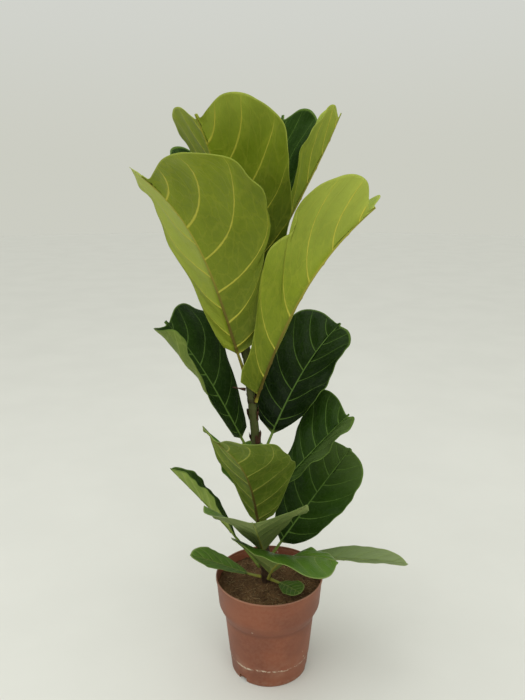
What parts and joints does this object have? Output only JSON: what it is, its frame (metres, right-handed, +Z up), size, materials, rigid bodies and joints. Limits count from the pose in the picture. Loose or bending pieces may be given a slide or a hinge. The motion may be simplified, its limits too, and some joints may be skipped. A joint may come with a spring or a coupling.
{
  "type": "potted fiddle leaf fig",
  "caption": "Potted fiddle leaf fig: one slender leaning stem with broad folded waxy leaves, growing in a tapered plastic nursery pot of soil.",
  "frame": {"origin": "middle of the pot's flat underside, on the floor", "axes": "+Z up along the pot's axis, -Y towards the viewer's side, +X to the viewer's right"},
  "size_m": [0.4125, 0.3226, 0.8775],
  "materials": {
    "pot": "matte, slightly dusty",
    "soil": "loose, damp",
    "stem": "smooth green bark",
    "bud": "satin",
    "dry_scale": "dry, papery",
    "young_leaf": "satin waxy",
    "dark_leaf": "glossy waxy",
    "low_leaf": "satin waxy"
  },
  "bodies": {
    "root": {"pot": "pot", "potting_soil": "soil", "stem": "stem", "terminal_bud": "bud", "dry_scale_left": "dry_scale", "dry_scale_right": "dry_scale", "leaf_upper_front_left": "young_leaf", "leaf_upper_front_right": "young_leaf", "leaf_crown_front": "young_leaf", "leaf_crown_back_right": "dark_leaf", "leaf_crown_right": "young_leaf", "leaf_crown_back_left": "dark_leaf", "leaf_middle_left": "dark_leaf", "leaf_middle_right": "dark_leaf", "leaf_lower_right_small": "dark_leaf", "leaf_centre_front": "low_leaf", "leaf_lower_left": "dark_leaf", "leaf_lower_front": "low_leaf", "leaf_low_front_right": "low_leaf", "leaf_low_right": "low_leaf", "leaf_lower_right_oval": "dark_leaf", "leaf_rim_left": "low_leaf", "leaf_soil_small": "low_leaf", "leaf_lower_back": "low_leaf"}
  },
  "joints": []
}
